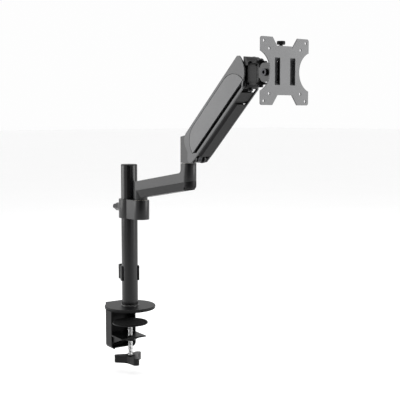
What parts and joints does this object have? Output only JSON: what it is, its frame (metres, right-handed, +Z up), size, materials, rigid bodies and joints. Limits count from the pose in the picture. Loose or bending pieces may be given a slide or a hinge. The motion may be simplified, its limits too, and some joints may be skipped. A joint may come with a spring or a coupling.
{
  "type": "monitor arm",
  "caption": "Pole-mounted monitor arm with a desk-edge clamp, height-adjustable collar, swivelling lower arm, gas-spring upper arm and a tilting, turning square display plate.",
  "frame": {"origin": "on the pole's axis, on the underside of the base pad, where it rests on the desk's top", "axes": "+Z up along the pole; -Y forward, the way the arm points at rest, and out of the display plate's front; +X to the side"},
  "size_m": [0.115, 0.5284, 0.6655],
  "materials": {
    "arm_coat": "satin powder coat",
    "black_plastic": "fine grained",
    "pad": "soft foam rubber",
    "bearing_plastic": "natural nylon",
    "zinc_steel": "zinc plated",
    "black_steel": "black oxide"
  },
  "bodies": {
    "base": {"base_plate": "arm_coat", "base_pad": "pad", "clamp_bracket": "arm_coat", "bracket_screws": "zinc_steel", "lower_jaw": "arm_coat", "jaw_bolts": "zinc_steel", "jaw_nuts": "zinc_steel", "jaw_screw_nut": "arm_coat", "pole": "arm_coat", "pole_anchor": "zinc_steel", "pole_bolt": "zinc_steel", "pole_cap": "black_plastic"},
    "clamp_disc": {"pressure_plate": "arm_coat", "pressure_pad": "pad"},
    "clamp_spindle": {"clamp_screw": "zinc_steel", "clamp_knob": "black_plastic"},
    "clip": {"cable_clip": "black_plastic"},
    "sleeve": {"collar_liner": "bearing_plastic"},
    "collar": {"pole_collar": "arm_coat", "collar_shoe": "bearing_plastic", "collar_bushes": "bearing_plastic"},
    "collar_key": {"collar_bolt": "zinc_steel"},
    "lower": {"lower_arm": "arm_coat", "lower_arm_cover": "black_plastic", "swivel_shaft": "zinc_steel", "swivel_washer": "zinc_steel", "swivel_screw": "black_steel", "elbow_bushes": "bearing_plastic"},
    "yoke": {"elbow_yoke": "arm_coat", "elbow_spindle": "zinc_steel", "elbow_washer": "zinc_steel", "elbow_screw": "black_steel"},
    "spring_arm": {"arm_channel": "arm_coat", "side_panel_left": "arm_coat", "side_panel_right": "arm_coat", "trim_left": "arm_coat", "trim_right": "arm_coat", "long_cable_cover": "black_plastic", "short_cable_cover": "black_plastic", "lower_pivot_pin": "zinc_steel", "upper_pivot_screws": "zinc_steel", "gas_cylinder": "black_steel"},
    "link": {"link_bars": "arm_coat", "link_pins": "zinc_steel"},
    "piston": {"gas_rod": "zinc_steel"},
    "head": {"head_bracket": "arm_coat", "head_cover": "black_plastic", "head_pin": "zinc_steel", "head_washers": "bearing_plastic", "trunnion": "zinc_steel"},
    "tension": {"tension_screw": "zinc_steel"},
    "pan": {"swivel_block": "arm_coat"},
    "tilt": {"tilt_bracket": "arm_coat", "tilt_bolt": "black_steel", "tilt_nut": "black_steel", "turn_spacer": "bearing_plastic"},
    "plate": {"turn_rivet": "zinc_steel", "receiver_plate": "arm_coat", "vesa_plate": "arm_coat"},
    "plate_screw": {"thumb_screw": "black_plastic"}
  },
  "joints": [
    {"name": "clamp_screw_turn", "type": "hinge", "parent": "clamp_disc", "child": "clamp_spindle", "pos_m": [0, 0, -0.08], "axis": [0, 0, 1], "range_deg": [-2640, 2880]},
    {"name": "clamp_travel", "type": "slide", "parent": "base", "child": "clamp_disc", "axis": [0, 0, 1], "range_m": [-0.0221, 0.0241]},
    {"name": "clip_height", "type": "slide", "parent": "base", "child": "clip", "axis": [0, 0, 1], "range_m": [-0.05, 0.02]},
    {"name": "collar_height", "type": "slide", "parent": "base", "child": "sleeve", "axis": [0, 0, 1], "range_m": [-0.08, 0.07]},
    {"name": "collar_turn", "type": "hinge", "parent": "sleeve", "child": "collar", "pos_m": [0, 0, 0.217], "axis": [0, 0, 1], "continuous": true},
    {"name": "collar_bolt_turn", "type": "hinge", "parent": "collar", "child": "collar_key", "pos_m": [0, 0.04, 0.21725], "axis": [0, 1, 0], "continuous": true},
    {"name": "lower_arm_swing", "type": "hinge", "parent": "collar", "child": "lower", "pos_m": [0, -0.0425, 0.23], "axis": [0, 0, 1], "range_deg": [-90, 90]},
    {"name": "elbow_swing", "type": "hinge", "parent": "lower", "child": "yoke", "pos_m": [0, -0.204, 0.31], "axis": [0, 0, 1], "range_deg": [-90, 90]},
    {"name": "arm_lift", "type": "hinge", "parent": "yoke", "child": "spring_arm", "pos_m": [0, -0.2305, 0.3315], "axis": [-1, 0, 0], "range_deg": [-44, 4]},
    {"name": "link_swing", "type": "hinge", "parent": "yoke", "child": "link", "pos_m": [0, -0.2245, 0.3585], "axis": [-1, 0, 0], "range_deg": [-44.1, 4.1]},
    {"name": "head_level", "type": "hinge", "parent": "spring_arm", "child": "head", "pos_m": [0, -0.37485, 0.46993], "axis": [-1, 0, 0], "range_deg": [-4.1, 44.1]},
    {"name": "gas_rod_slide", "type": "slide", "parent": "spring_arm", "child": "piston", "axis": [0, -0.6678, 0.7443], "range_m": [-0.0136, 0.0014]},
    {"name": "tension_screw_turn", "type": "hinge", "parent": "head", "child": "tension", "pos_m": [0, -0.37485, 0.46993], "axis": [0, 0.2169, 0.9762], "continuous": true},
    {"name": "head_swivel", "type": "hinge", "parent": "head", "child": "pan", "pos_m": [0, -0.40285, 0.48853], "axis": [0, 0, 1], "range_deg": [-35, 35]},
    {"name": "head_tilt", "type": "hinge", "parent": "pan", "child": "tilt", "pos_m": [0, -0.42785, 0.48853], "axis": [1, 0, 0], "range_deg": [-30, 30]},
    {"name": "plate_turn", "type": "hinge", "parent": "tilt", "child": "plate", "pos_m": [0, -0.46385, 0.48853], "axis": [0, 1, 0], "range_deg": [-90, 90]},
    {"name": "thumb_screw_turn", "type": "hinge", "parent": "plate", "child": "plate_screw", "pos_m": [0, -0.45335, 0.52853], "axis": [0, 0, 1], "continuous": true}
  ],
  "couplings": [
    {"joint": "clamp_travel", "follows": "clamp_screw_turn", "m_per_rad": 0.00047746},
    {"joint": "link_swing", "follows": "arm_lift", "ratio": 1},
    {"joint": "head_level", "follows": "arm_lift", "ratio": -1},
    {"joint": "gas_rod_slide", "follows": "arm_lift", "m_per_rad": 0.0173}
  ]
}
